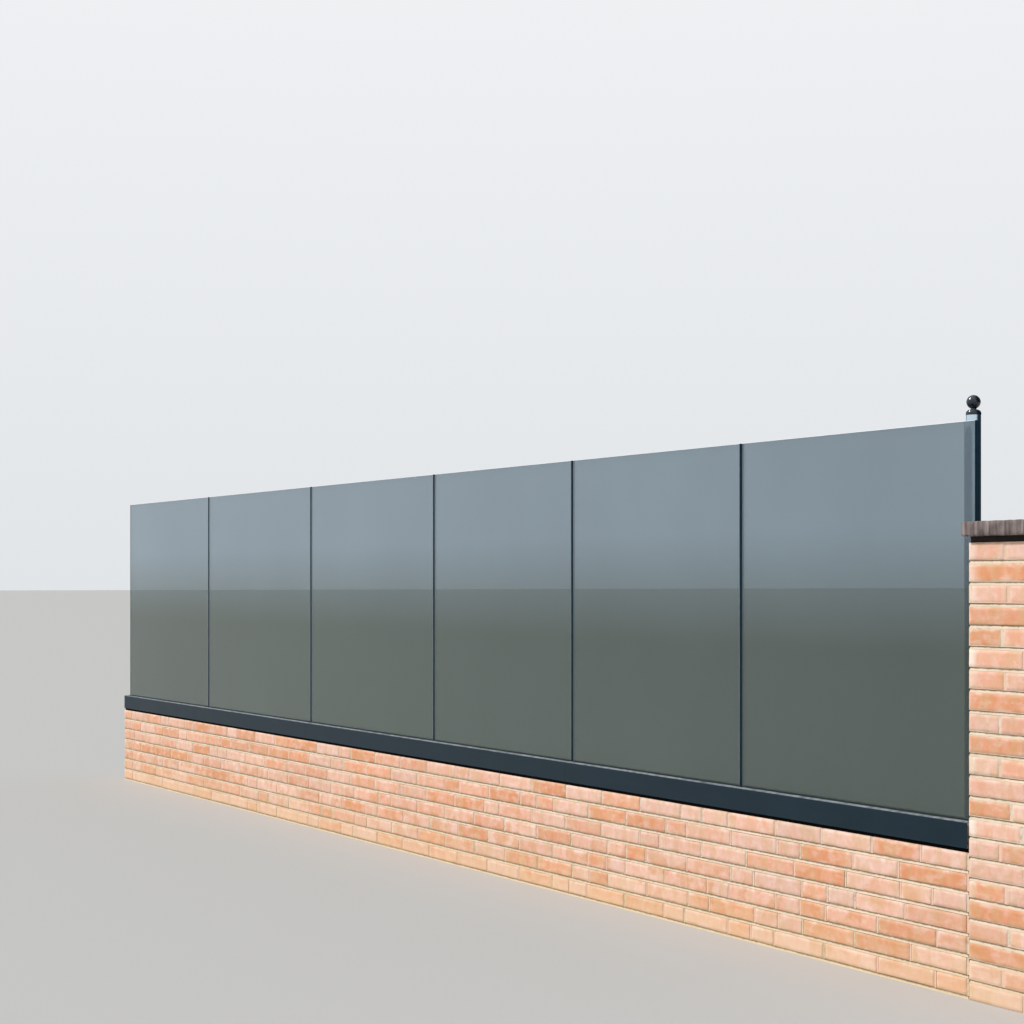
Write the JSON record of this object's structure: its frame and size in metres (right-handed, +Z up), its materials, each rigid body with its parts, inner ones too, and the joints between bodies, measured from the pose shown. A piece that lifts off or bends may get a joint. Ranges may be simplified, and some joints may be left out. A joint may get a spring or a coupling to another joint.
{
  "type": "glass fence",
  "caption": "Run of frameless smoked-glass fence panes clamped in a coated aluminium base channel on a low brick wall, ending at a capped brick pillar.",
  "frame": {"origin": "under the low wall, at the middle of its length and thickness, at ground level", "axes": "+X along the fence to the pillar, +Y away from the street side, +Z up"},
  "size_m": [7.75, 0.43, 1.8612],
  "materials": {
    "brickwork": "sand-faced brick, flush mortar",
    "cap_stone": "weathered, streaked",
    "smoked_glass": "clear laminated glass with a blue-grey smoke tint, ground edges",
    "coated_metal": "satin anthracite powder coat",
    "mill_aluminium": "mill finish",
    "bed_rubber": "matte black",
    "gasket_rubber": "matte black",
    "seat_plastic": "moulded",
    "zinc_steel": "zinc plated",
    "post_paint": "gloss dark blue paint"
  },
  "bodies": {
    "root": {"anchor_bolts_1": "zinc_steel", "anchor_bolts_2": "zinc_steel", "anchor_bolts_3": "zinc_steel", "ball_finial": "post_paint", "base_channel_1": "mill_aluminium", "base_channel_2": "mill_aluminium", "base_channel_3": "mill_aluminium", "bed_strips_1": "bed_rubber", "bed_strips_2": "bed_rubber", "bed_strips_3": "bed_rubber", "channel_end_plate": "coated_metal", "clamp_jaws_1": "mill_aluminium", "clamp_jaws_2": "mill_aluminium", "clamp_jaws_3": "mill_aluminium", "clamp_wedges_1": "seat_plastic", "clamp_wedges_2": "seat_plastic", "clamp_wedges_3": "seat_plastic", "end_post": "post_paint", "front_cover_1": "coated_metal", "front_cover_2": "coated_metal", "front_cover_3": "coated_metal", "front_gasket": "gasket_rubber", "glass_pane_1": "smoked_glass", "glass_pane_2": "smoked_glass", "glass_pane_3": "smoked_glass", "glass_pane_4": "smoked_glass", "glass_pane_5": "smoked_glass", "glass_pane_6": "smoked_glass", "glass_seats_1": "seat_plastic", "glass_seats_2": "seat_plastic", "glass_seats_3": "seat_plastic", "low_wall": "brickwork", "pillar": "brickwork", "pillar_cap": "cap_stone", "post_bolts": "zinc_steel", "post_collar": "post_paint", "post_flange": "post_paint", "rear_cover_1": "coated_metal", "rear_cover_2": "coated_metal", "rear_cover_3": "coated_metal", "rear_gasket": "gasket_rubber"}
  },
  "joints": []
}
